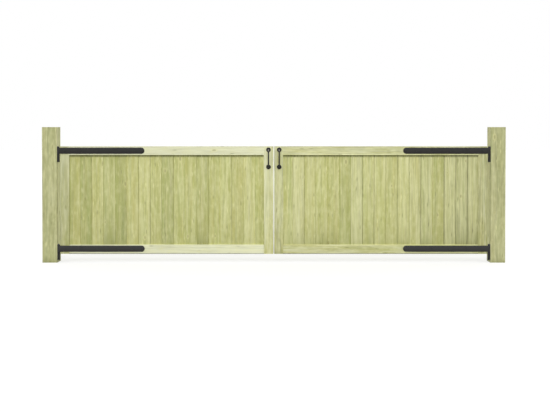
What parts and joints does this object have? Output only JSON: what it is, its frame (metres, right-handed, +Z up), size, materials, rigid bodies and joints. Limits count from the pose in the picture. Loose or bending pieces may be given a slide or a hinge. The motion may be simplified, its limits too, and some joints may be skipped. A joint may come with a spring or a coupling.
{
  "type": "pair of wooden garden gates",
  "caption": "Low double driveway gate: two framed matchboard leaves on strap hinges between square timber posts, with iron pull handles.",
  "frame": {"origin": "middle of the left post's foot, at ground level", "axes": "+X along the gate from the left post to the right post, +Z up, the front with the straps and handles faces -Y"},
  "size_m": [4.326, 0.1885, 1.267],
  "materials": {
    "posts": "sawn pressure-treated pine",
    "frame_timber": "planed pressure-treated pine",
    "matchboards": "planed pressure-treated pine",
    "ironwork": "satin black"
  },
  "bodies": {
    "posts": {"left_post": "posts", "right_post": "posts", "left_upper_pintle": "ironwork", "left_lower_pintle": "ironwork", "right_upper_pintle": "ironwork", "right_lower_pintle": "ironwork"},
    "left_leaf": {"left_hinge_stile": "frame_timber", "left_meeting_stile": "frame_timber", "left_top_rail": "frame_timber", "left_bottom_rail": "frame_timber", "left_panel": "matchboards", "left_upper_strap": "ironwork", "left_lower_strap": "ironwork", "left_handle_grip": "ironwork", "left_handle_upper_rosette": "ironwork", "left_handle_lower_rosette": "ironwork"},
    "right_leaf": {"right_hinge_stile": "frame_timber", "right_meeting_stile": "frame_timber", "right_top_rail": "frame_timber", "right_bottom_rail": "frame_timber", "right_panel": "matchboards", "right_upper_strap": "ironwork", "right_lower_strap": "ironwork", "right_handle_grip": "ironwork", "right_handle_upper_rosette": "ironwork", "right_handle_lower_rosette": "ironwork"}
  },
  "joints": [
    {"name": "left_leaf_swing", "type": "hinge", "parent": "posts", "child": "left_leaf", "pos_m": [0.0861, -0.0634, 0.082], "axis": [0, 0, -1], "range_deg": [0, 90]},
    {"name": "right_leaf_swing", "type": "hinge", "parent": "posts", "child": "right_leaf", "pos_m": [4.0999, -0.0634, 0.082], "axis": [0, 0, 1], "range_deg": [0, 90]}
  ]
}
